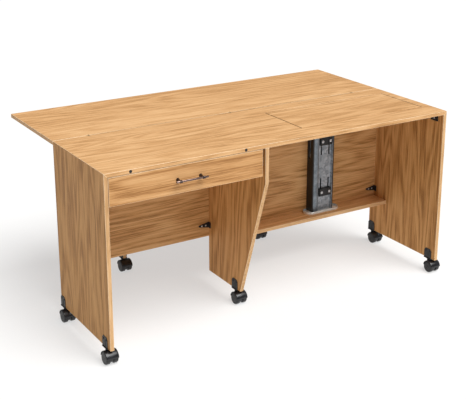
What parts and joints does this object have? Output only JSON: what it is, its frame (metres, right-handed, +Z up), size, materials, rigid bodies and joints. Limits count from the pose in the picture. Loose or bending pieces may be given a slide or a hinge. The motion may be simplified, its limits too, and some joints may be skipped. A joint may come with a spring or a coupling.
{
  "type": "sewing table",
  "caption": "Sewing table on casters with a machine opening and lift platform, a drawer, and a rear leaf on swing-out gate legs that folds over the top.",
  "frame": {"origin": "on the floor, under the middle of the whole outline", "axes": "+X to the right along the front edge, +Y to the rear, +Z up"},
  "size_m": [1.636, 0.962, 0.75],
  "materials": {
    "oak_board": "satin",
    "oak_upright": "satin",
    "drawer_board": "satin",
    "dowel_beech": "matte",
    "black_steel": "satin",
    "black_plastic": "matte",
    "wheel_nylon": "satin",
    "white_nylon": "satin",
    "galvanised": "satin",
    "bright_steel": "bright",
    "chrome_plate": "polished",
    "dark_bronze": "satin"
  },
  "bodies": {
    "carcass": {"main_top": "oak_board", "left_side_panel": "oak_upright", "middle_panel": "oak_upright", "right_side_panel": "oak_upright", "back_panel": "oak_board", "lift_shelf": "oak_board", "panel_dowels": "dowel_beech", "corner_brackets": "black_steel", "top_brackets": "black_steel", "bracket_screws": "bright_steel", "edge_caps": "black_plastic", "runner_rails": "galvanised", "leaf_hinge_cups": "galvanised", "lift_base_plate": "chrome_plate", "lift_column": "galvanised", "lift_guide_rails": "black_plastic", "lift_clamp_blocks": "black_plastic", "lift_block_screws": "bright_steel", "gas_spring_cylinder": "black_steel", "gas_spring_foot": "galvanised", "gate_hinge_plates": "galvanised", "gate_hinge_pins": "bright_steel", "caster_brackets": "black_steel"},
    "drawer": {"drawer_front": "oak_board", "drawer_left_side": "drawer_board", "drawer_right_side": "drawer_board", "drawer_back": "drawer_board", "drawer_bottom": "drawer_board", "runner_slides": "galvanised", "handle_posts": "dark_bronze", "handle_bar": "bright_steel", "handle_screws": "bright_steel"},
    "leaf_links": {"leaf_hinge_links": "galvanised"},
    "leaf": {"quilting_leaf": "oak_board", "leaf_cups": "galvanised"},
    "lift_carriage": {"lift_platform": "oak_board", "lift_arms": "black_steel", "lift_cross_pin": "bright_steel", "slide_shoes": "white_nylon", "gas_spring_rod": "chrome_plate", "platform_screws": "bright_steel"},
    "gate_left": {"gate_leg_left": "oak_upright", "gate_left_fittings": "black_steel"},
    "gate_right": {"gate_leg_right": "oak_upright", "gate_right_fittings": "black_steel"},
    "caster_left_front_fork": {"caster_hood_left_front": "black_plastic"},
    "caster_left_front_wheels": {"caster_wheels_left_front": "wheel_nylon"},
    "caster_left_rear_fork": {"caster_hood_left_rear": "black_plastic"},
    "caster_left_rear_wheels": {"caster_wheels_left_rear": "wheel_nylon"},
    "caster_middle_fork": {"caster_hood_middle": "black_plastic"},
    "caster_middle_wheels": {"caster_wheels_middle": "wheel_nylon"},
    "caster_right_front_fork": {"caster_hood_right_front": "black_plastic"},
    "caster_right_front_wheels": {"caster_wheels_right_front": "wheel_nylon"},
    "caster_right_rear_fork": {"caster_hood_right_rear": "black_plastic"},
    "caster_right_rear_wheels": {"caster_wheels_right_rear": "wheel_nylon"},
    "caster_gate_left_fork": {"caster_hood_gate_left": "black_plastic"},
    "caster_gate_left_wheels": {"caster_wheels_gate_left": "wheel_nylon"},
    "caster_gate_right_fork": {"caster_hood_gate_right": "black_plastic"},
    "caster_gate_right_wheels": {"caster_wheels_gate_right": "wheel_nylon"}
  },
  "joints": [
    {"name": "drawer_slide", "type": "slide", "parent": "carcass", "child": "drawer", "axis": [0, -1, 0], "range_m": [0, 0.3]},
    {"name": "leaf_link_turn", "type": "hinge", "parent": "carcass", "child": "leaf_links", "pos_m": [0, 0.012, 0.745], "axis": [1, 0, 0], "range_deg": [0, 90]},
    {"name": "leaf_turn", "type": "hinge", "parent": "leaf_links", "child": "leaf", "pos_m": [0, 0.023, 0.745], "axis": [1, 0, 0], "range_deg": [0, 90]},
    {"name": "lift_slide", "type": "slide", "parent": "carcass", "child": "lift_carriage", "axis": [0, 0, -1], "range_m": [0, 0.17]},
    {"name": "gate_left_turn", "type": "hinge", "parent": "carcass", "child": "gate_left", "pos_m": [-0.393, 0.01, 0.4], "axis": [0, 0, 1], "range_deg": [0, 90]},
    {"name": "gate_right_turn", "type": "hinge", "parent": "carcass", "child": "gate_right", "pos_m": [0.357, 0.01, 0.4], "axis": [0, 0, -1], "range_deg": [0, 90]},
    {"name": "caster_left_front_swivel", "type": "hinge", "parent": "carcass", "child": "caster_left_front_fork", "pos_m": [-0.792, -0.404, 0.06], "axis": [0, 0, 1], "continuous": true},
    {"name": "caster_left_front_roll", "type": "hinge", "parent": "caster_left_front_fork", "child": "caster_left_front_wheels", "pos_m": [-0.792, -0.424, 0.025], "axis": [1, 0, 0], "continuous": true},
    {"name": "caster_left_rear_swivel", "type": "hinge", "parent": "carcass", "child": "caster_left_rear_fork", "pos_m": [-0.792, -0.005, 0.06], "axis": [0, 0, 1], "continuous": true},
    {"name": "caster_left_rear_roll", "type": "hinge", "parent": "caster_left_rear_fork", "child": "caster_left_rear_wheels", "pos_m": [-0.792, -0.025, 0.025], "axis": [1, 0, 0], "continuous": true},
    {"name": "caster_middle_swivel", "type": "hinge", "parent": "carcass", "child": "caster_middle_fork", "pos_m": [-0.116, -0.225, 0.06], "axis": [0, 0, 1], "continuous": true},
    {"name": "caster_middle_roll", "type": "hinge", "parent": "caster_middle_fork", "child": "caster_middle_wheels", "pos_m": [-0.116, -0.245, 0.025], "axis": [1, 0, 0], "continuous": true},
    {"name": "caster_right_front_swivel", "type": "hinge", "parent": "carcass", "child": "caster_right_front_fork", "pos_m": [0.792, -0.404, 0.06], "axis": [0, 0, 1], "continuous": true},
    {"name": "caster_right_front_roll", "type": "hinge", "parent": "caster_right_front_fork", "child": "caster_right_front_wheels", "pos_m": [0.792, -0.424, 0.025], "axis": [1, 0, 0], "continuous": true},
    {"name": "caster_right_rear_swivel", "type": "hinge", "parent": "carcass", "child": "caster_right_rear_fork", "pos_m": [0.792, -0.005, 0.06], "axis": [0, 0, 1], "continuous": true},
    {"name": "caster_right_rear_roll", "type": "hinge", "parent": "caster_right_rear_fork", "child": "caster_right_rear_wheels", "pos_m": [0.792, -0.025, 0.025], "axis": [1, 0, 0], "continuous": true},
    {"name": "caster_gate_left_swivel", "type": "hinge", "parent": "gate_left", "child": "caster_gate_left_fork", "pos_m": [-0.38, 0.323, 0.06], "axis": [0, 0, 1], "continuous": true},
    {"name": "caster_gate_left_roll", "type": "hinge", "parent": "caster_gate_left_fork", "child": "caster_gate_left_wheels", "pos_m": [-0.38, 0.303, 0.025], "axis": [1, 0, 0], "continuous": true},
    {"name": "caster_gate_right_swivel", "type": "hinge", "parent": "gate_right", "child": "caster_gate_right_fork", "pos_m": [0.344, 0.323, 0.06], "axis": [0, 0, 1], "continuous": true},
    {"name": "caster_gate_right_roll", "type": "hinge", "parent": "caster_gate_right_fork", "child": "caster_gate_right_wheels", "pos_m": [0.344, 0.303, 0.025], "axis": [1, 0, 0], "continuous": true}
  ]
}
